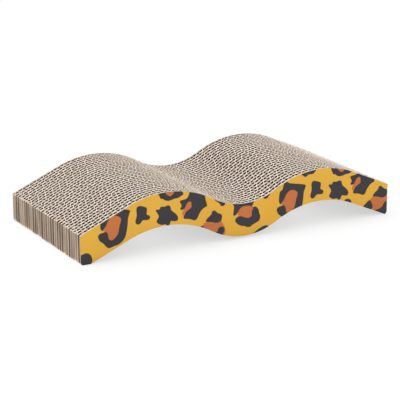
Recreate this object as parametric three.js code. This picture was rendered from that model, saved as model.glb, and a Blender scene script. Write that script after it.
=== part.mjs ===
// Wave-shaped cat scratcher: strips of single-face corrugated board stand on edge and are glued
// face to face, so that their open flutes make the scratching surface. A printed card closes
// each long side. Millimetres, +Z up: X runs along the strips, Y across the stack, and the two
// feet stand on Z = 0.

import * as THREE from 'three';

// Driving dimensions, in millimetres and degrees
const WAVE_LENGTH = 220; // crest to crest; a strip is two waves long
const WAVE_SHIFT = 5; // from the middle of the strip to the middle trough
const FLANK_ANGLE = 28; // slope between a crest and the middle trough
const FLANK_RUN = 8; // level length of the straight part of that slope
const TROUGH_RADIUS = 90; // underside of the middle trough
const TROUGH_CLEARANCE = 3; // from the floor to the middle trough
const FOOT_LAND = 8; // flat length of each foot, before the wave is shifted
const STRIP_DEPTH = 42; // upright thickness, the same all along the wave
const BOARD_COUNT = 30;
const BOARD_PITCH = 6.8; // from one board's liner to the next
const GLUE_LINE = 0.1; // from a board's flute tips to the next board's liner
const LINER_THICKNESS = 0.8; // flat paper that carries the flutes
const FLUTE_PITCH = 9.8;
const FLUTE_STAGGER = 0.27; // shift of the flutes from board to board, in flute pitches
const BUNDLE = 10; // boards that shift one way before the shift turns back
const COVER_THICKNESS = 1.5;
const LINER_FACET = 20; // facet lengths along the flat faces
const COVER_FACET = 10;
const LEAST_FACET = 0.05; // no flute crease lies closer than this to a cut end

const CARDBOARD = { color: 0xc9b69d, roughness: 0.95, metalness: 0 };
const PRINTED_CARD = { color: 0xe2ac3c, roughness: 0.6, metalness: 0 };

// The underside is a row of arcs and tangent lines. Runs are measured from the middle trough.
const LENGTH = 2 * WAVE_LENGTH;
const END = LENGTH / 2;
const CREST_RUN = WAVE_LENGTH / 2;
const FLANK = THREE.MathUtils.degToRad(FLANK_ANGLE);
const FLANK_START = TROUGH_RADIUS * Math.sin(FLANK);
const FLANK_END = FLANK_START + FLANK_RUN;
const FLANK_BASE = TROUGH_CLEARANCE + TROUGH_RADIUS * (1 - Math.cos(FLANK));
const CREST_RADIUS = (CREST_RUN - FLANK_END) / Math.sin(FLANK);
const CREST_HEIGHT = FLANK_BASE + FLANK_RUN * Math.tan(FLANK) + CREST_RADIUS * (1 - Math.cos(FLANK));

// The outer slope leaves the crest arc on a tangent that meets the floor at the foot's inner edge.
const FOOT_RUN = END - FOOT_LAND;
const CREST_TO_FOOT = new THREE.Vector2(FOOT_RUN - CREST_RUN, CREST_RADIUS - CREST_HEIGHT);
const OUTER_FLANK = Math.atan2(CREST_TO_FOOT.x, CREST_TO_FOOT.y)
  - Math.acos(CREST_RADIUS / CREST_TO_FOOT.length());
const OUTER_START = CREST_RUN + CREST_RADIUS * Math.sin(OUTER_FLANK);

const STACK = BOARD_COUNT * BOARD_PITCH;
const BOARD_THICKNESS = BOARD_PITCH - GLUE_LINE;

function arcSag(radius, run) {
  return radius - Math.sqrt(radius * radius - run * run);
}

// Height of the wave's underside; past the feet it runs on below the floor.
function waveHeight(x) {
  const run = Math.abs(x - WAVE_SHIFT);
  if (run < FLANK_START) return TROUGH_CLEARANCE + arcSag(TROUGH_RADIUS, run);
  if (run < FLANK_END) return FLANK_BASE + (run - FLANK_START) * Math.tan(FLANK);
  if (run < OUTER_START) return CREST_HEIGHT - arcSag(CREST_RADIUS, run - CREST_RUN);
  return (FOOT_RUN - run) * Math.tan(OUTER_FLANK);
}

const undersideAt = (x) => Math.max(waveHeight(x), 0);
const topAt = (x) => waveHeight(x) + STRIP_DEPTH;

// Points of a straight plan line across the whole length, with one at each foot's inner edge.
function planLine(y, facet) {
  const left = THREE.MathUtils.clamp(WAVE_SHIFT - FOOT_RUN, -END, END);
  const right = THREE.MathUtils.clamp(WAVE_SHIFT + FOOT_RUN, -END, END);
  const steps = Math.ceil((right - left) / facet);
  const between = Array.from({ length: steps + 1 }, (_, i) => (
    THREE.MathUtils.lerp(left, right, i / steps)));
  const xs = [-END, ...between, END];
  return xs.filter((x, i) => i === 0 || x - xs[i - 1] > LEAST_FACET)
    .map((x) => new THREE.Vector2(x, y));
}

// Triangles between two plan lines that both run towards +X, the second on the +Y side.
function zip(near, far) {
  const triangles = [];
  let i = 0;
  let j = 0;
  while (i + 1 < near.length || j + 1 < far.length) {
    const stepNear = j + 1 === far.length
      || (i + 1 < near.length && near[i + 1].x < far[j + 1].x);
    if (stepNear) {
      triangles.push([near[i], near[i + 1], far[j]]);
      i += 1;
    } else {
      triangles.push([near[i], far[j + 1], far[j]]);
      j += 1;
    }
  }
  return triangles;
}

// Stands a plan outline up as a strip: its lower edge follows the underside, its upper edge the top.
function waveStrip(outline, triangles) {
  const count = outline.length;
  const place = new Map(outline.map((point, i) => [point, i]));
  const lower = outline.flatMap((p) => [p.x, p.y, undersideAt(p.x)]);
  const upper = outline.flatMap((p) => [p.x, p.y, topAt(p.x)]);
  const index = [];
  for (const triangle of triangles) {
    const [a, b, c] = triangle.map((point) => place.get(point));
    index.push(a, c, b, a + count, b + count, c + count);
  }
  for (let i = 0; i < count; i += 1) {
    const next = (i + 1) % count;
    index.push(i, next, next + count, i, next + count, i + count);
  }
  const geometry = new THREE.BufferGeometry();
  geometry.setAttribute('position', new THREE.Float32BufferAttribute([...lower, ...upper], 3));
  geometry.setIndex(index);
  geometry.computeVertexNormals();
  return geometry;
}

function coverGeometry() {
  const outside = planLine(0, COVER_FACET);
  const inside = planLine(COVER_THICKNESS, COVER_FACET);
  return waveStrip([...outside, ...inside.toReversed()], zip(outside, inside));
}

// One board: a flat liner along y = 0 with a row of flutes on it, cut square at both ends.
function boardGeometry(phase) {
  const rise = BOARD_THICKNESS - LINER_THICKNESS;
  const fluteAt = (x) => {
    const turn = THREE.MathUtils.euclideanModulo(x / FLUTE_PITCH - phase, 1);
    return new THREE.Vector2(x, LINER_THICKNESS + rise * (1 - Math.abs(2 * turn - 1)));
  };
  const face = planLine(0, LINER_FACET);
  const roots = [new THREE.Vector2(-END, LINER_THICKNESS)];
  const flutes = [[fluteAt(-END)]]; // what stands on the liner after each root
  const first = Math.ceil(2 * ((LEAST_FACET - END) / FLUTE_PITCH - phase));
  const last = Math.floor(2 * ((END - LEAST_FACET) / FLUTE_PITCH - phase));
  for (let crease = first; crease <= last; crease += 1) {
    const x = (crease / 2 + phase) * FLUTE_PITCH;
    if (crease % 2 === 0) {
      roots.push(new THREE.Vector2(x, LINER_THICKNESS));
      flutes.push([]);
    } else {
      flutes.at(-1).push(new THREE.Vector2(x, BOARD_THICKNESS));
    }
  }
  flutes.at(-1).push(fluteAt(END));
  roots.push(new THREE.Vector2(END, LINER_THICKNESS));

  const outline = [...face, roots.at(-1)];
  const triangles = zip(face, roots);
  for (let i = flutes.length - 1; i >= 0; i -= 1) {
    const flute = flutes[i].toReversed();
    outline.push(...flute, roots[i]);
    const around = [roots[i + 1], ...flute];
    for (let k = 1; k < around.length; k += 1) triangles.push([roots[i], around[k - 1], around[k]]);
  }
  return waveStrip(outline, triangles);
}

// The shift of the flutes runs one way through a bundle of boards and back through the next.
function flutePhase(i) {
  const place = i % (2 * BUNDLE);
  return (FLUTE_STAGGER * Math.min(place, 2 * BUNDLE - place)) % 1;
}

function piece(name, geometry, finish, y) {
  const material = new THREE.MeshStandardMaterial({ ...finish, flatShading: true });
  const mesh = new THREE.Mesh(geometry, material);
  mesh.name = name;
  mesh.position.y = y;
  return mesh;
}

const scratcher = new THREE.Group();
scratcher.add(piece('front_cover', coverGeometry(), PRINTED_CARD, -STACK / 2 - COVER_THICKNESS));
for (let i = 0; i < BOARD_COUNT; i += 1) {
  const name = `board_${String(i + 1).padStart(2, '0')}`;
  const y = i * BOARD_PITCH - STACK / 2;
  scratcher.add(piece(name, boardGeometry(flutePhase(i)), CARDBOARD, y));
}
scratcher.add(piece('rear_cover', coverGeometry(), PRINTED_CARD, STACK / 2));

export default scratcher;
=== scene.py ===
# %% [markdown]
# # A wave-shaped cat scratcher
# Thirty strips of corrugated cardboard stand on edge, glued face to face, and a printed card closes
# each long side. The open ends of the flutes are what the cat scratches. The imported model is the
# frame: every strip and card made here takes the place of the solid of the same name.

# %% Load the frame
import math

import bmesh
import bpy
import numpy as np
from mathutils import Matrix, Vector, noise


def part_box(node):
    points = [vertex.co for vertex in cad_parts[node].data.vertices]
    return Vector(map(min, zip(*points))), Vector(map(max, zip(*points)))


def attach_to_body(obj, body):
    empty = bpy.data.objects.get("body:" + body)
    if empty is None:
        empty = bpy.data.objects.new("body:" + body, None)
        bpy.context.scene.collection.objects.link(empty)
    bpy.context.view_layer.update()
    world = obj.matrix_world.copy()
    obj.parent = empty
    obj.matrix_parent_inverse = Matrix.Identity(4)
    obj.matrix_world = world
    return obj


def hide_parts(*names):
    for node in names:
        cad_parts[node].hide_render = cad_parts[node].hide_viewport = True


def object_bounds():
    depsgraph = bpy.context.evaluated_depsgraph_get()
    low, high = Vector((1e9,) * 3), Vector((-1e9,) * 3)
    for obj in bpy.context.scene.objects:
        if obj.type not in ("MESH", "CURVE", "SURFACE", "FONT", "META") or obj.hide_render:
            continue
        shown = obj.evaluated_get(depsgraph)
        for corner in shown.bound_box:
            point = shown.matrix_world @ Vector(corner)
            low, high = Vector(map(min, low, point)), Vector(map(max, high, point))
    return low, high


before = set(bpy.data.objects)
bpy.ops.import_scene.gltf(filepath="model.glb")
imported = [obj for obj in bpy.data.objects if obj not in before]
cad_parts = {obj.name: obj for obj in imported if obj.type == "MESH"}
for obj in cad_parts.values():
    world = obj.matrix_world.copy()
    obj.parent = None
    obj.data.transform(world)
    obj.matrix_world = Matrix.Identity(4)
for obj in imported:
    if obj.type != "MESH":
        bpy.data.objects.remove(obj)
cad_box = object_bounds()
print("solids:", len(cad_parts), "box:", [[round(c, 4) for c in corner] for corner in cad_box])

# %% [markdown]
# ## The wave
# Every strip is die-cut to one outline. Its underside is a row of arcs joined by straight tangents:
# a foot, a crest, the middle trough, a second crest and a foot. The cut edge on top is the same line
# moved straight up, so the strip is equally deep everywhere when it is measured upright. A curve
# object could hold this outline, but a height for each x is simpler, because every sheet is then a
# plain grid whose points are moved to the right height.

# %% Sizes of the wave
MM = 0.001
WAVE_LENGTH = 220 * MM  # crest to crest; a strip is two waves long
WAVE_SHIFT = 5 * MM  # from the middle of the strip to the middle trough
FLANK = math.radians(28)  # slope between a crest and the middle trough
FLANK_RUN = 8 * MM  # level length of the straight part of that slope
TROUGH_RADIUS = 90 * MM
TROUGH_CLEARANCE = 3 * MM  # from the floor to the middle trough
FOOT_LAND = 8 * MM  # flat length of a foot, before the wave is shifted
STRIP_DEPTH = 42 * MM

END = WAVE_LENGTH
CREST_RUN = WAVE_LENGTH / 2
FLANK_START = TROUGH_RADIUS * math.sin(FLANK)
FLANK_END = FLANK_START + FLANK_RUN
FLANK_BASE = TROUGH_CLEARANCE + TROUGH_RADIUS * (1 - math.cos(FLANK))
CREST_RADIUS = (CREST_RUN - FLANK_END) / math.sin(FLANK)
CREST_HEIGHT = FLANK_BASE + FLANK_RUN * math.tan(FLANK) + CREST_RADIUS * (1 - math.cos(FLANK))
FOOT_RUN = END - FOOT_LAND
CREST_TO_FOOT = Vector((FOOT_RUN - CREST_RUN, CREST_RADIUS - CREST_HEIGHT))
OUTER_FLANK = (math.atan2(CREST_TO_FOOT.x, CREST_TO_FOOT.y)
               - math.acos(CREST_RADIUS / CREST_TO_FOOT.length))
OUTER_START = CREST_RUN + CREST_RADIUS * math.sin(OUTER_FLANK)
print("crest height:", round((CREST_HEIGHT + STRIP_DEPTH) / MM, 2), "mm, solids:",
      round(cad_box[1][2] / MM, 2), "mm")

# %% Wave outline
CORNER_RADIUS = 3.4 * MM  # lower corner at each end of a strip


def arc_sag(radius, run):
    return radius - math.sqrt(radius * radius - run * run)


def wave_height(x):
    """Height of the wave's underside; past the feet it runs on below the floor."""
    run = abs(x - WAVE_SHIFT)
    if run < FLANK_START:
        return TROUGH_CLEARANCE + arc_sag(TROUGH_RADIUS, run)
    if run < FLANK_END:
        return FLANK_BASE + (run - FLANK_START) * math.tan(FLANK)
    if run < OUTER_START:
        return CREST_HEIGHT - arc_sag(CREST_RADIUS, run - CREST_RUN)
    return (FOOT_RUN - run) * math.tan(OUTER_FLANK)


def corner_lift(x, radius):
    """How far the die rounds off the lower corner near a strip's end."""
    short = max(0.0, radius - (END - abs(x)))
    return arc_sag(radius, min(short, radius))


def underside(x, corner=CORNER_RADIUS):
    return max(wave_height(x), 0.0) + corner_lift(x, corner)


def topside(x):
    return wave_height(x) + STRIP_DEPTH


print("top of the strip at its ends:", [round(topside(x) / MM, 1) for x in (-END, END)], "mm")

# %% [markdown]
# ## Shader arithmetic
# Cardboard and print need many small sums: a blotch times a fibre, one minus a mask. Wiring Math
# nodes by hand hides what they do, so one small class wraps a socket and lets plain Python
# expressions add the nodes. The few other nodes come from its method `node`.

# %% Socket wrapper
class Shade:
    """A socket in a node tree, with arithmetic that adds Math nodes."""

    def __init__(self, tree, socket=None):
        self.tree = tree
        self.socket = socket

    def node(self, kind, settings, sockets, output=0):
        """Adds a node, sets it up, links or fills its sockets, and returns one of its outputs."""
        made = self.tree.nodes.new(kind)
        for name, value in settings.items():
            setattr(made, name, value)
        for name, value in sockets.items():
            if isinstance(value, Shade):
                self.tree.links.new(value.socket, made.inputs[name])
            else:
                made.inputs[name].default_value = value
        return Shade(self.tree, made.outputs[output])

    def math(self, operation, a, b, clamp=False):
        return self.node("ShaderNodeMath", {"operation": operation, "use_clamp": clamp}, {0: a, 1: b})

    def __add__(self, other):
        return self.math("ADD", self, other)

    __radd__ = __add__

    def __mul__(self, other):
        return self.math("MULTIPLY", self, other)

    __rmul__ = __mul__

    def __sub__(self, other):
        return self.math("SUBTRACT", self, other)

    def __rsub__(self, other):
        return self.math("SUBTRACT", other, self)

    def __truediv__(self, other):
        return self.math("DIVIDE", self, other)

    def __rtruediv__(self, other):
        return self.math("DIVIDE", other, self)

    def __gt__(self, other):
        return self.math("GREATER_THAN", self, other)

    def __lt__(self, other):
        return self.math("LESS_THAN", self, other)

    def __abs__(self):
        return self.math("ABSOLUTE", self, 0.0)

    def clamped(self):
        return self.math("ADD", self, 0.0, clamp=True)

    def mix(self, a, b):
        """The colour a where this value is 0, and b where it is 1."""
        # several sockets of this node share a name, so the ones for colour go by number
        return self.node("ShaderNodeMix", {"data_type": "RGBA"}, {0: self, 6: a, 7: b}, output=2)


print("what adds nodes: + - * / < > abs, math, clamped and mix")


# %% Material helpers
def new_material(name):
    """An empty material with its start for expressions, its shader node and its object coordinates."""
    material = bpy.data.materials.new(name)
    material.use_nodes = True
    start = Shade(material.node_tree)
    coords = start.node("ShaderNodeTexCoord", {}, {}, output="Object")
    return material, start, material.node_tree.nodes["Principled BSDF"], coords


def speckle(start, coords, scale, detail=3.0):
    """Noise around 0, with so many lumps to a metre in x, y and z."""
    stretched = start.node("ShaderNodeVectorMath", {"operation": "MULTIPLY"}, {0: coords, 1: scale})
    lumps = start.node("ShaderNodeTexNoise", {}, {"Vector": stretched, "Scale": 1.0, "Detail": detail})
    return lumps - 0.5


def stored(start, name):
    """A value that the mesh stores at its points."""
    return start.node("ShaderNodeAttribute", {"attribute_name": name}, {}, output="Fac")


def attach(shader, name, value):
    shader.id_data.links.new(value.socket, shader.inputs[name])


def bump(start, height, distance):
    return start.node("ShaderNodeBump", {}, {"Height": height, "Distance": distance, "Strength": 1.0})


print("material helpers: new_material, speckle, stored, attach, bump")

# %% [markdown]
# ## Kraft paper
# The liners and flutes are unbleached kraft with long fibres along the flutes, faint clouds and dark
# specks. Its colour changes with the place. Inside the cells the walls are painted deep brown, which
# is painted shade. Just under the cut a pale band is partly frayed paper and partly painted light on
# the tops of the walls. At the board ends the paper keeps a lighter grey-tan, without the painted
# shade. The band could be a separate strip of faces, but a torn edge has no clean line. So every
# point stores how high it lies on its strip, and how steeply its flute swings there, and noise breaks
# up the border.

# %% Colours of the kraft
# painted shade: the walls inside the cells are drawn near black-brown, for the shade deep in the cells
SHADED_CELL_KRAFT = (0.038, 0.016, 0.0055, 1), (0.095, 0.045, 0.0175, 1)
OUTER_KRAFT = (0.18, 0.13, 0.088, 1), (0.87, 0.71, 0.56, 1)
# the pale band under the cut: frayed paper, and painted light on the tops of the walls
TORN_AND_LIT_KRAFT = (0.66, 0.54, 0.43, 1), (0.92, 0.81, 0.69, 1)
SPECK_COLOUR = (0.14, 0.09, 0.05, 1)
SPECK_LEVEL = 0.21  # noise above this is a speck
SPECK_STRENGTH = 0.45
UNSHADED_END = 2.4 * MM  # length of a strip's end that has no painted shade
FADE = 2.4 * MM  # length over which the painted shade gives way to the lighter tone
LIT_FRAY_DEPTH = 0.48 * MM  # depth of the pale band under the cut, frayed paper and painted light, on the flat of a sheet
LIT_FRAY_DEPTH_FLANK = 1.3 * MM  # and where a flute swings across
LIT_FRAY_SHARPNESS = 2.5  # of the band's border
FIBRE_RELIEF = 0.25 * MM
print("torn band:", round(LIT_FRAY_DEPTH / MM, 2), "to", round(LIT_FRAY_DEPTH_FLANK / MM, 2), "mm deep")


# %% Kraft paper
# Painted light: the pale band makes the tops of the cell walls look lit, deeper where a flute swings
# across.
def torn_and_lit_band(start, ragged):
    """1 just under the cut edges of a strip, and 0 deeper in."""
    level = stored(start, "level")
    depth = start.math("MINIMUM", level, 1 - level) * STRIP_DEPTH
    reach = LIT_FRAY_DEPTH + stored(start, "steep") * (LIT_FRAY_DEPTH_FLANK - LIT_FRAY_DEPTH)
    return ((1 - depth / reach) * LIT_FRAY_SHARPNESS + 0.5 + ragged).clamped()


# where this is 0 the walls carry the painted shade of the cells
def unshaded_end(start, coords):
    """1 at both ends of a strip, and 0 from a few millimetres inwards."""
    along = start.node("ShaderNodeSeparateXYZ", {}, {0: coords}, output="X")
    return ((abs(along) - (END - UNSHADED_END)) / FADE).clamped()


def make_kraft():
    material, start, bsdf, coords = new_material("kraft_paper")
    clouds = speckle(start, coords, (25, 90, 14))
    streaks = speckle(start, coords, (700, 700, 18))
    fibres = speckle(start, coords, (2600, 2600, 500), detail=4.0)
    dots = speckle(start, coords, (900, 900, 420), detail=1.0)
    tone = (0.5 + clouds * 0.9 + streaks * 1.1 + fibres * 0.5).clamped()
    # painted shade: the walls take the dark colour in the cells, and keep the paper's own colour at the
    # ends
    clean = unshaded_end(start, coords).mix(tone.mix(*SHADED_CELL_KRAFT), tone.mix(*OUTER_KRAFT))
    # the pale band under the cut: frayed paper and painted light
    paper = torn_and_lit_band(start, fibres * 1.2 + streaks * 0.8).mix(clean, tone.mix(*TORN_AND_LIT_KRAFT))
    specks = (dots > SPECK_LEVEL) * SPECK_STRENGTH
    attach(bsdf, "Base Color", specks.mix(paper, SPECK_COLOUR))
    attach(bsdf, "Roughness", 0.9 + fibres * 0.15)
    attach(bsdf, "Normal", bump(start, fibres + streaks * 0.6, FIBRE_RELIEF))
    bsdf.inputs["Specular IOR Level"].default_value = 0.2
    return material


kraft_paper = make_kraft()
print("material:", kraft_paper.name)

# %% [markdown]
# ## Cut edge of the paper
# Where the die cut the paper it is torn open and much paler than its faces. A mask in the kraft could
# show that, but the bright line along the top would be only as sharp as the mask. So the cut gets a
# material of its own, on the rim of every sheet. The fluted sheet is slightly browner than the liner.

# %% Cut edge
LINER_CUT = (0.75, 0.63, 0.51, 1), (0.88, 0.79, 0.69, 1)
FLUTED_CUT = (0.73, 0.60, 0.48, 1), (0.88, 0.78, 0.68, 1)
TORN_RELIEF = 0.2 * MM


def make_cut_edge(name, dark, pale):
    material, start, bsdf, coords = new_material(name)
    clouds = speckle(start, coords, (40, 60, 40))
    torn = speckle(start, coords, (1500, 1500, 1500), detail=2.0)
    tone = (0.6 + clouds * 0.8 + torn * 1.2).clamped()
    attach(bsdf, "Base Color", tone.mix(dark, pale))
    attach(bsdf, "Roughness", 0.92 + torn * 0.1)
    attach(bsdf, "Normal", bump(start, torn, TORN_RELIEF))
    bsdf.inputs["Specular IOR Level"].default_value = 0.15
    return material


cut_edge = make_cut_edge("cut_edge", *LINER_CUT)
fluted_edge = make_cut_edge("fluted_edge", *FLUTED_CUT)
print("materials:", cut_edge.name, fluted_edge.name)

# %% [markdown]
# ## A sheet of paper on edge
# Liner, fluted sheet and card are all one thing: a sheet that stands on edge and is cut to the wave.
# A sheet could be extruded from a line on the floor, but then its upper and lower edges would still
# have to be bent. So it starts as a grid, whose points go straight to their places, and the solidify
# operator gives it its thickness. The papers are drawn thicker than they are, as torn edges look.

# %% Sheet on edge
def vertex_layer(bm, name):
    return bm.verts.layers.float.get(name) or bm.verts.layers.float.new(name)


def stand_up(bm, columns, rows, across, steepness=lambda x: 0.0, corner=CORNER_RADIUS):
    """Adds a grid on edge, cut to the wave; across(x) gives its y. Returns its faces."""
    level, steep = vertex_layer(bm, "level"), vertex_layer(bm, "steep")
    made = bmesh.ops.create_grid(bm, x_segments=columns, y_segments=rows, size=1.0)["verts"]
    for vert in made:
        x = vert.co.x * END
        low, high = underside(x, corner), topside(x)
        vert[level] = (vert.co.y + 1) / 2
        vert[steep] = steepness(x)
        vert.co = (x, across(x), low + (high - low) * vert[level])
    return list({face for vert in made for face in vert.link_faces})


print("sheet height at its ends:", [round((topside(x) - underside(x)) / MM, 1) for x in (-END, END)], "mm")

# %% Paper thickness
DIE_CUT = 0.3  # a rim face that looks up or down more than this was cut by the die


def thicken(bm, faces, thickness, rim=1):
    """Gives a sheet its thickness. The rim that the die cut takes another of the materials."""
    one_side = {vert for face in faces for vert in face.verts}
    others = set(bm.faces) - set(faces)
    bm.normal_update()
    bmesh.ops.solidify(bm, geom=faces, thickness=thickness)
    bm.normal_update()
    for vert in bm.verts:
        vert.co.x = max(-END, min(END, vert.co.x))  # the ends stay square
    for face in bm.faces:
        on_rim = len({vert in one_side for vert in face.verts}) == 2
        if face not in others and on_rim and abs(face.normal.z) > DIE_CUT:
            face.material_index = rim


print("rim faces that tilt by more than", round(math.degrees(math.asin(DIE_CUT))), "degrees are cut edges")

# %% Finished piece
CREASE = math.radians(40)  # edges sharper than this stay sharp


def sharpen(bm):
    for face in bm.faces:
        face.smooth = True
    for edge in bm.edges:
        if len(edge.link_faces) == 2:
            edge.smooth = edge.calc_face_angle() < CREASE


def keep_piece(bm, name, node, materials):
    """Turns the faces outwards and makes an object that stands for one of the solids."""
    bmesh.ops.recalc_face_normals(bm, faces=bm.faces)
    if bm.calc_volume(signed=True) < 0:  # the operator can leave a thin sheet inside out
        bmesh.ops.reverse_faces(bm, faces=bm.faces)
    sharpen(bm)
    mesh = bpy.data.meshes.new(name)
    bm.to_mesh(mesh)
    bm.free()
    for material in materials:
        mesh.materials.append(material)
    piece = bpy.data.objects.new(name, mesh)
    bpy.context.scene.collection.objects.link(piece)
    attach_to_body(piece, "root")
    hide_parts(node)
    return piece


print("edges stay sharp from", round(math.degrees(CREASE)), "degrees")

# %% [markdown]
# ## The corrugated boards
# Each board is single-face corrugated: a flat liner with a fluted sheet glued to it. The fluted sheet
# swings between its liner and the next board along a cosine, which the hyperbolic tangent steepens,
# because real flutes lie flat against both sides and cross over quickly. The flutes shift a little
# from board to board, one way through a bundle and back through the next, and each board strays from
# that rule. At both ends the sheet lies against the next board. On most boards it crosses over just
# before the end and closes the cell; on the others it does so deeper in, and the end looks open.
# Thirty copies of one board would be simpler, but the eye finds a repeat at once. Smooth noise gives
# all these strays, so every run makes the same boards.

# %% Sizes of a board
BOARD_COUNT = 30
BOARD_PITCH = 6.8 * MM  # from one board's liner to the next
STACK = BOARD_COUNT * BOARD_PITCH
LINER = 1.35 * MM  # thickness of the flat sheet
FLUTED_PAPER = 0.7 * MM  # and of the fluted one
GLUE_GAP = 0.06 * MM
FLUTE_PITCH = 9.8 * MM
FLUTE_SNAP = 3.2  # how quickly a flute crosses over
FLUTE_STAGGER = 0.27  # shift from board to board, in flute pitches
BUNDLE = 10  # boards that shift one way before the shift turns back
FLUTE_STEPS = 22  # grid columns in a flute
LINER_COLUMNS = 220
print("boards:", BOARD_COUNT, "flutes in a board:", round(2 * END / FLUTE_PITCH))

# %% Strays of a board
LAST_CROSSING = 1.5 * MM  # length over which the sheet crosses to the next board
SHUT_INSET = 0.7 * MM  # from that crossing to the strip's end, where the cell is closed
OPEN_INSET = 4.5 * MM  # and where the end looks open
OPEN_SHARE = 0.34  # boards whose flutes start in this part of a pitch look open
FLUTE_DRIFT = 0.07  # wandering of the flutes along a board, in flute pitches
DRIFT_LENGTH = 50 * MM
PHASE_STRAY = {"amount": 0.5, "stride": 0.37, "row": 0.5, "seed": 7.3, "length": 0.11}
INSET_STRAY = {"amount": 1.8, "stride": 1.0, "row": 0.3, "seed": 5.7, "length": 1.7}
CORNER_STRAY = {"amount": 1.2, "stride": 0.31, "row": 0.2, "seed": 3.1, "length": 1.0}


def wander(x, y, seed, length):
    """A smooth value around 0 that changes over this length."""
    return noise.noise(Vector((x / length, y / length, seed)))


def stray(board, amount, stride, row, seed, length):
    """A value around 0 of a board's own; boards lie a stride apart in the noise."""
    return amount * wander(board * stride, row, seed, length)


def flute_phase(board):
    place = board % (2 * BUNDLE)
    return FLUTE_STAGGER * min(place, 2 * BUNDLE - place) + stray(board, **PHASE_STRAY)


def end_inset(board):
    if flute_phase(board) % 1 < OPEN_SHARE:
        return OPEN_INSET
    return SHUT_INSET * (1 + stray(board, **INSET_STRAY))


open_boards = sum(end_inset(board) == OPEN_INSET for board in range(BOARD_COUNT))
print("boards whose ends look open:", open_boards, "of", BOARD_COUNT)


# %% One board
def make_board(board):
    """A liner and its fluted sheet, which swings between near and far."""
    front = board * BOARD_PITCH - STACK / 2 + GLUE_GAP
    near = front + LINER + GLUE_GAP
    far = front + BOARD_PITCH - FLUTED_PAPER - 3 * GLUE_GAP
    phase, inset = flute_phase(board), end_inset(board)
    corner = CORNER_RADIUS * (1 + stray(board, **CORNER_STRAY))

    def swing(x):
        """1 where the fluted sheet lies on its liner, and -1 where it lies on the next board."""
        crossing = (END - abs(x) - inset) / LAST_CROSSING
        if crossing < 1:
            return 2 * max(crossing, 0.0) - 1
        turn = x / FLUTE_PITCH - phase + FLUTE_DRIFT * wander(x, front, board, DRIFT_LENGTH)
        return math.tanh(FLUTE_SNAP * math.cos(2 * math.pi * turn)) / math.tanh(FLUTE_SNAP)

    def flutes(x):
        return near + (far - near) * (1 - swing(x)) / 2

    bm = bmesh.new()
    thicken(bm, stand_up(bm, LINER_COLUMNS, 1, lambda x: front, corner=corner), LINER)
    steps = round(2 * END / FLUTE_PITCH * FLUTE_STEPS)
    sheet = stand_up(bm, steps, 1, flutes, lambda x: 1 - swing(x) ** 2, corner)
    thicken(bm, sheet, FLUTED_PAPER, rim=2)
    node = f"board_{board + 1:02d}"
    return keep_piece(bm, f"fluted_{node}", node,
                      (kraft_paper, cut_edge, fluted_edge))


boards = [make_board(board) for board in range(BOARD_COUNT)]
print("boards made:", len(boards), "faces in one:", len(boards[0].data.polygons))
low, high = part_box("board_01")
ys = [vert.co.y for vert in boards[0].data.vertices]
print("solid y:", round(low[1] / MM, 2), round(high[1] / MM, 2),
      "sheets y:", round(min(ys) / MM, 2), round(max(ys) / MM, 2))

# %% [markdown]
# ## The leopard print
# The print is a plain leopard pattern: charcoal spots and rosettes with orange hearts on
# yellow, repeated along the card. Each spot is a smooth closed outline, in millimetres along the
# card and up from the floor. An image would be the usual way; here every point of the card stores
# how deep it lies inside the nearest spot, and the material turns that depth into a crisp edge.

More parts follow.
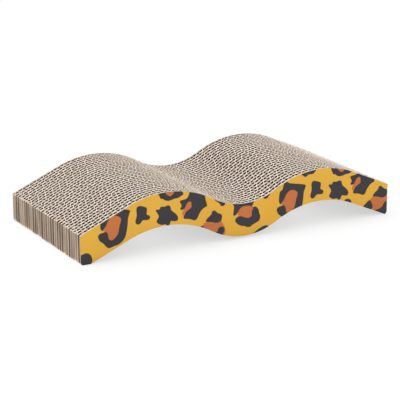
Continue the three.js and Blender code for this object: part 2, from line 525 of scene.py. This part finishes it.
# %% Charcoal spots of one repeat
CHARCOAL_SPOTS = {
    "corner blob": [(-231, 5), (-226, 9), (-219, 12.5), (-212, 14), (-207, 11), (-205, 5), (-207, 0),
                    (-213, -4), (-224, -4), (-231, 0)],
    "big hook": [(-192.5, 41), (-192, 54), (-188, 57.5), (-186, 64.5), (-182, 66.5), (-177, 64),
                 (-156, 59.5), (-155, 56), (-157, 50), (-158, 40), (-160, 30), (-163, 24),
                 (-169, 19.5), (-176, 18), (-182, 16.5), (-186, 19), (-189, 23), (-194, 27),
                 (-196, 33), (-193, 35.5), (-188.5, 36.3), (-186, 38.5)],
    "boomerang": [(-145, 59), (-143, 62), (-140, 62), (-133, 59.5), (-131.5, 57), (-132, 51),
                  (-128, 48), (-127.5, 46), (-130, 44), (-137, 44.5), (-140, 41.5), (-143, 40),
                  (-146, 42), (-146, 46), (-144.5, 51)],
    "star": [(-119, 54), (-114, 54), (-112.5, 57), (-108, 56.5), (-103, 57.5), (-100, 56),
             (-98.5, 51), (-92, 45), (-89.5, 41), (-90, 37.5), (-94, 37), (-99, 38), (-101, 33.5),
             (-104, 33), (-106, 35), (-112, 35), (-117, 38), (-117.5, 40.5), (-115, 45), (-116, 49)],
    "crest rosette": [(-115.5, 76), (-113.5, 70.5), (-112, 67.5), (-110, 68), (-107, 65.5),
                      (-102.5, 64), (-98, 64.5), (-93.5, 65.5), (-88, 66), (-84.5, 68), (-82, 69),
                      (-82.5, 71), (-84.5, 73.5), (-90, 80), (-110, 80)],
    "blotch": [(-86, 60.5), (-83.5, 55), (-85.5, 50.5), (-81, 50), (-78, 47), (-79, 44), (-81, 40),
               (-80, 38), (-74, 37), (-70, 35.5), (-66, 34), (-63, 35.5), (-60, 41), (-56, 46),
               (-52, 48.5), (-49, 50), (-51, 57), (-53, 65), (-58, 68), (-66, 72), (-72, 71),
               (-74, 66), (-77, 62.5), (-81, 61.5)],
    "slope fleck": [(-38.5, 59), (-37, 55.2), (-34.5, 53.2), (-32, 51.4), (-30.3, 49.4), (-29, 47.3),
                    (-27, 46.5), (-24, 47.5), (-24, 51), (-27, 56), (-32, 61)],
    "trough rosette, top": [(-50, 30), (-48, 33), (-44, 36), (-42, 38), (-41, 41), (-38, 41.5),
                            (-34, 38), (-30, 36), (-28, 34), (-29, 28), (-33, 26), (-36, 25.5),
                            (-39, 27), (-44, 28.5), (-48, 29)],
    "trough rosette, left": [(-64, 17.5), (-60, 21.5), (-56, 24.5), (-53, 23.5), (-50, 17.5),
                             (-51, 13.5), (-54, 12), (-60, 13)],
    "middle hook": [(-5, 35), (-8, 32), (-11, 32.5), (-10, 42), (-11, 48), (0, 52), (18, 50),
                    (17, 44), (15, 40), (17, 38), (20, 38.5), (24, 35), (25.5, 30), (27, 25),
                    (25.5, 20), (20, 17.5), (16, 16), (13, 14), (9, 14), (5, 16), (0, 17), (-5, 20),
                    (-8, 23.5), (-8, 26), (-5, 28.5), (-1, 29.5), (0, 31)],
    "rising fleck": [(-216, 51.5), (-214, 50), (-211, 50), (-209, 52.5), (-207, 54.5), (-208, 58.5),
                     (-215, 58.5)],
    "edge fleck": [(-160, 74.5), (-157, 71.5), (-154, 70), (-150, 72.5), (-144, 72.5), (-141, 74.5),
                   (-139, 77.5), (-143, 81.5), (-156, 81.5)],
    "low fleck": [(-95, 27.5), (-93.5, 30.3), (-91, 31.3), (-88, 30.8), (-85.3, 29), (-84, 25.5),
                  (-88, 22.5), (-93, 24.5)],
}
print("charcoal spots in a repeat:", len(CHARCOAL_SPOTS))

# %% Orange hearts of one repeat
ORANGE_HEARTS = {
    "big hook": [(-190, 39.5), (-186, 44), (-183, 50), (-178, 54.5), (-172, 55), (-167, 52),
                 (-166, 48), (-168, 42), (-170, 33), (-174, 28), (-178, 25.5), (-182, 27), (-183, 31),
                 (-184, 35), (-187, 37.5)],
    "crest rosette": [(-106, 74), (-102, 70), (-99, 69), (-95.5, 71.5), (-94, 75), (-97, 79),
                      (-103, 79)],
    "blotch": [(-83, 46), (-81, 50), (-79, 52), (-77, 56), (-75, 58), (-71, 58), (-70.5, 54),
               (-70.5, 51), (-74, 48.5), (-78, 46), (-80, 42.5), (-82, 42), (-83.5, 44)],
    "trough rosette": [(-54, 25), (-52, 28), (-46, 28.5), (-38, 26), (-32, 26), (-28.5, 27.5),
                       (-26.5, 23.5), (-23.5, 18.5), (-22.5, 13.5), (-25, 8), (-36, 7), (-46, 7),
                       (-50, 11), (-50.5, 18)],
    "middle hook": [(-5, 31.5), (-4, 36), (0, 40.5), (6, 41.5), (13, 40.5), (17, 37), (15, 33),
                    (15, 28), (11, 25.5), (6, 26.5), (0, 29)],
}
CHARCOAL_OVER_ORANGE = {
    "trough rosette, right": [(-46, 3), (-46, 9.5), (-42, 10.8), (-38, 12), (-34.5, 14.2),
                              (-33, 17.5), (-30, 20), (-26.5, 19.5), (-24, 17), (-24, 14),
                              (-26.5, 9.5), (-31, 3)],
}
print("orange hearts:", len(ORANGE_HEARTS), "charcoal spots over them:", len(CHARCOAL_OVER_ORANGE))


# %% Smooth outline of a spot
def rounded_loop(corners, steps=5):
    """A smooth closed curve through the corners."""
    here = np.array(corners, float)
    before, after, beyond = np.roll(here, 1, 0), np.roll(here, -1, 0), np.roll(here, -2, 0)
    curve = [0.5 * (2 * here + (after - before) * t
                    + (2 * before - 5 * here + 4 * after - beyond) * t ** 2
                    + (3 * here - before - 3 * after + beyond) * t ** 3)
             for t in np.linspace(0, 1, steps, endpoint=False)]
    return np.stack(curve, axis=1).reshape(-1, 2)


print("points round the star:", len(rounded_loop(CHARCOAL_SPOTS["star"])))


# %% Depth inside a spot
def depth_inside(points, loop):
    """Distance from each point to the loop, positive inside it."""
    start, end = loop, np.roll(loop, -1, 0)
    side = end - start
    offset = points[:, None] - start
    along = np.clip((offset * side).sum(-1) / (side * side).sum(-1), 0, 1)
    gap = np.hypot(*np.moveaxis(offset - along[..., None] * side, -1, 0)).min(1)
    rises = (start[:, 1] > points[:, 1:]) != (end[:, 1] > points[:, 1:])
    level = np.where(side[:, 1] == 0, 1.0, side[:, 1])
    crossing = start[:, 0] + (points[:, 1:] - start[:, 1]) / level * side[:, 0]
    inside = (rises & (points[:, :1] < crossing)).sum(1) % 2 == 1
    return np.where(inside, gap, -gap)


star = rounded_loop(CHARCOAL_SPOTS["star"])
print("depth in the middle of the star:", depth_inside(star.mean(0)[None], star).round(1), "mm")

# %% Depth inside all the spots
REPEAT = np.array((248.0, -2.5))  # from one copy of the pattern to the next, in millimetres
COPIES = range(-1, 3)  # those that reach a card
DEPTH_LIMIT = 6.0  # a point farther than this from every spot counts as this far


def print_depth(points, spots):
    depth = np.full(len(points), -DEPTH_LIMIT)
    for corners in spots.values():
        for copy in COPIES:
            loop = rounded_loop(corners) + copy * REPEAT
            lowest, highest = loop.min(0) - DEPTH_LIMIT, loop.max(0) + DEPTH_LIMIT
            near = np.all((points > lowest) & (points < highest), axis=1)
            if near.any():
                depth[near] = np.maximum(depth[near], depth_inside(points[near], loop))
    return depth


sample = print_depth(np.array([(-175.0, 45.0), (-130.0, 30.0)]), ORANGE_HEARTS)
print("depth in the big hook's heart and outside it:", sample.round(1), "mm")

# %% [markdown]
# ## The printed face
# The card is thin, coated on its printed face, with a soft sheen. The ink sits a little unevenly, so
# each colour gets a faint mottle, and the edges of the spots get a slight ragged line. The colour is
# chosen by the stored depths, which is sharper than a colour stored at the points would be.

# %% Printed face
YELLOW = (0.70, 0.37, 0.030, 1), (0.79, 0.44, 0.048, 1)
CHARCOAL = (0.022, 0.020, 0.024, 1), (0.038, 0.034, 0.040, 1)
RUST = (0.488, 0.135, 0.031, 1), (0.588, 0.178, 0.047, 1)
INK_EDGE = 2.2  # sharpness of a spot's edge, for each millimetre of depth
INK_SPREAD = 0.5  # millimetres by which charcoal runs past its outline
INK_RAGGED = 0.5  # millimetres by which the noise moves an edge
COATING_RELIEF = 0.08 * MM


def make_print():
    material, start, bsdf, coords = new_material("leopard_print")
    ragged = speckle(start, coords, (900, 900, 900), detail=2.0) * INK_RAGGED
    clouds = speckle(start, coords, (30, 30, 30), detail=2.0)
    grain = speckle(start, coords, (2400, 2400, 2400), detail=2.0)
    in_charcoal = ((stored(start, "charcoal") + INK_SPREAD + ragged) * INK_EDGE + 0.5).clamped()
    in_orange = ((stored(start, "orange") + ragged) * INK_EDGE + 0.5).clamped()
    mottle = (0.5 + clouds * 0.7 + grain * 0.5).clamped()
    ground = in_charcoal.mix(mottle.mix(*YELLOW), mottle.mix(*CHARCOAL))
    attach(bsdf, "Base Color", in_orange.mix(ground, mottle.mix(*RUST)))
    attach(bsdf, "Roughness", 0.55 + grain * 0.12 + clouds * 0.08)
    attach(bsdf, "Normal", bump(start, grain, COATING_RELIEF))
    bsdf.inputs["Specular IOR Level"].default_value = 0.3
    return material


leopard_print = make_print()
print("material:", leopard_print.name)

# %% [markdown]
# ## The card's edge
# Cut card shows its core: dull kraft-brown pulp in thin layers. A layered noise, fine across the card
# and coarse along it, gives that grain without any extra faces.

# %% Card edge
CARD_PULP = (0.33, 0.25, 0.165, 1), (0.50, 0.40, 0.28, 1)
PULP_RELIEF = 0.1 * MM


def make_card_edge():
    material, start, bsdf, coords = new_material("card_edge")
    layers = speckle(start, coords, (200, 3000, 200), detail=2.0)
    dust = speckle(start, coords, (1200, 1200, 1200), detail=2.0)
    tone = (0.6 + layers * 0.7 + dust * 0.6).clamped()
    attach(bsdf, "Base Color", tone.mix(*CARD_PULP))
    attach(bsdf, "Roughness", 0.9 + dust * 0.1)
    attach(bsdf, "Normal", bump(start, dust, PULP_RELIEF))
    bsdf.inputs["Specular IOR Level"].default_value = 0.2
    return material


card_edge = make_card_edge()
print("material:", card_edge.name)

# %% [markdown]
# ## The two cover cards
# A card has the strips' own outline. One extruded face could be enough, but its points carry the
# depth inside the spots, so it is a fine grid, thickened towards the boards. The far card is cut from
# another place on the same print, and its pattern runs the other way round, because it is seen from
# behind.

# %% One cover card
COVER_THICKNESS = 1.5 * MM
PRINT_STEP = 1.0 * MM  # from one point of the grid to the next
TOUCH = 1e-6  # points closer than this to the printed face lie on it


def store_depth(piece, name, depth):
    piece.data.attributes.new(name, "FLOAT", "POINT").data.foreach_set("value", depth)


def make_cover(node, outside, inwards, place_on_print):
    """A card whose printed face lies at y = outside; the pattern is looked up by place_on_print."""
    def is_outside(vert):
        return abs(vert.co.y - outside) < TOUCH

    bm = bmesh.new()
    columns, rows = round(2 * END / PRINT_STEP), round(STRIP_DEPTH / PRINT_STEP)
    thicken(bm, stand_up(bm, columns, rows, lambda x: outside), COVER_THICKNESS)
    for vert in bm.verts:
        vert.co.y = outside if is_outside(vert) else outside + inwards * COVER_THICKNESS
    for face in bm.faces:
        printed = [is_outside(vert) for vert in face.verts]
        if not all(printed):
            face.material_index = 1 if any(printed) else 2
    piece = keep_piece(bm, f"printed_{node}", node,
                       (leopard_print, card_edge, kraft_paper))
    points = np.array([place_on_print(vert.co) for vert in piece.data.vertices]) / MM
    over = print_depth(points, CHARCOAL_OVER_ORANGE)
    store_depth(piece, "charcoal", np.maximum(print_depth(points, CHARCOAL_SPOTS), over))
    store_depth(piece, "orange", np.minimum(print_depth(points, ORANGE_HEARTS), -over))
    return piece


print("points across a card:", round(2 * END / PRINT_STEP) + 1)

# %% Both cover cards
OUTSIDE = STACK / 2 + COVER_THICKNESS
FRONT_SHIFT = 0.4 * MM  # where on the print each card was cut
REAR_SHIFT = 86 * MM

front_card = make_cover("front_cover", -OUTSIDE, 1, lambda co: (co.x + FRONT_SHIFT, co.z))
rear_card = make_cover("rear_cover", OUTSIDE, -1, lambda co: (REAR_SHIFT - co.x, co.z))
print("cards:", [len(card.data.polygons) for card in (front_card, rear_card)], "faces")

# %% [markdown]
# ## The floor
# The scratcher stands on a plain white floor. A white floor that is only lit would turn grey in soft
# light, and stronger lamps would bleach the card. So the floor mixes its lit surface with white for
# the rays that are seen, and less so close to the object, which keeps its shadow. The floor can be
# seen through from below, so that the underside shows.

# %% Rays that are seen
SEEN_RAYS = ("Is Camera Ray", "Is Glossy Ray", "Is Transmission Ray")


def seen_directly(start):
    """1 for rays that show this surface to the viewer, and 0 for those that only carry its light."""
    return sum(start.node("ShaderNodeLightPath", {}, {}, output=ray) for ray in SEEN_RAYS).clamped()


print("rays that see white:", SEEN_RAYS)

# %% Floor
FLOOR_SIZE = 30.0
FLOOR_COLOUR = (0.92, 0.92, 0.92, 1)
CONTACT_REACH = 50 * MM  # how near the object darkens the floor
LEAST_WHITE = 0.56  # share of white right under the object
MORE_WHITE = 0.35  # share added in the open


def make_floor_material():
    material, start, bsdf, _ = new_material("white_floor")
    bsdf.inputs["Base Color"].default_value = FLOOR_COLOUR
    bsdf.inputs["Roughness"].default_value = 1.0
    bsdf.inputs["Specular IOR Level"].default_value = 0.0
    lit = Shade(material.node_tree, bsdf.outputs[0])
    white = start.node("ShaderNodeEmission", {}, {"Color": (1, 1, 1, 1), "Strength": 1.0})
    in_open = start.node("ShaderNodeAmbientOcclusion", {"samples": 16}, {"Distance": CONTACT_REACH},
                         output="AO")
    share = seen_directly(start) * (LEAST_WHITE + in_open * MORE_WHITE)
    upper = start.node("ShaderNodeMixShader", {}, {0: share, 1: lit, 2: white})
    below = start.node("ShaderNodeNewGeometry", {}, {}, output="Backfacing")
    nothing = start.node("ShaderNodeBsdfTransparent", {}, {})
    one_sided = start.node("ShaderNodeMixShader", {}, {0: below, 1: upper, 2: nothing})
    attach(material.node_tree.nodes["Material Output"], "Surface", one_sided)
    return material


def make_floor():
    bm = bmesh.new()
    bmesh.ops.create_grid(bm, x_segments=1, y_segments=1, size=FLOOR_SIZE)
    mesh = bpy.data.meshes.new("floor")
    bm.to_mesh(mesh)
    bm.free()
    mesh.materials.append(make_floor_material())
    floor = bpy.data.objects.new("floor", mesh)
    bpy.context.scene.collection.objects.link(floor)
    return floor


floor = make_floor()
print("floor:", [round(size, 1) for size in floor.dimensions], "m")

# %% [markdown]
# ## Light
# Soft light comes from a pale sky all round, and a broad lamp stands overhead, a little behind and to
# the left, so that the cut edges on top are the brightest. A weak low lamp lights the printed card in
# front. Area lamps would do as well; distant lamps light every part alike, wherever it is seen from.

# %% Sky
SKY_LIGHT = 0.45

scene = bpy.context.scene
scene.view_settings.view_transform = "Standard"
scene.world = bpy.data.worlds.new("studio")
scene.world.use_nodes = True
sky = scene.world.node_tree.nodes["Background"]
sky.inputs["Color"].default_value = (1, 1, 1, 1)
attach(sky, "Strength", SKY_LIGHT + seen_directly(Shade(scene.world.node_tree)) * (1 - SKY_LIGHT))
print("sky light:", SKY_LIGHT)


# %% Lamps
def add_lamp(name, towards, energy, softness):
    """A distant lamp that stands in this direction from the object; its softness is in degrees."""
    lamp = bpy.data.lights.new(name, "SUN")
    lamp.energy = energy
    lamp.angle = math.radians(softness)
    holder = bpy.data.objects.new(name, lamp)
    holder.matrix_world = Vector(towards).to_track_quat("Z", "Y").to_matrix().to_4x4()
    scene.collection.objects.link(holder)
    return holder


lamps = [add_lamp("top_lamp", towards=(-0.25, 0.33, 0.9), energy=2.55, softness=50),
         add_lamp("low_lamp", towards=(-0.12, -0.99, 0.06), energy=0.83, softness=6)]
print("lamps:", [(lamp.name, round(lamp.data.energy, 2)) for lamp in lamps])

# %% [markdown]
# ## Camera
# The camera stands where the photo's did: its direction, distance and lens were worked out from the
# outline of the front card. A constraint could aim it, but three axes written out in a matrix keep
# the picture level and are easy to check.

# %% Camera
AZIMUTH = math.radians(-28.834)
ELEVATION = math.radians(16.446)
DISTANCE = 2.101886
LENS = 146.088  # millimetres, as is the sensor's width
SENSOR = 36.0
AIM_HEIGHT = 35 * MM  # about half the scratcher's height
AIM_RIGHT = -1.719 * MM  # from there to the middle of the picture, along its sides
AIM_UP = -11.278 * MM

back = Vector((math.sin(AZIMUTH) * math.cos(ELEVATION),
               -math.cos(AZIMUTH) * math.cos(ELEVATION), math.sin(ELEVATION)))
right = Vector((math.cos(AZIMUTH), math.sin(AZIMUTH), 0))
up = back.cross(right)
aim = Vector((0, 0, AIM_HEIGHT)) + right * AIM_RIGHT + up * AIM_UP
turned = Matrix((right, up, back)).transposed().to_4x4()
camera = bpy.data.objects.new("camera", bpy.data.cameras.new("camera"))
camera.data.sensor_width = SENSOR
camera.data.lens = LENS
camera.matrix_world = Matrix.Translation(aim + back * DISTANCE) @ turned
scene.collection.objects.link(camera)
scene.camera = camera
print("camera at", [round(c, 3) for c in camera.matrix_world.translation])
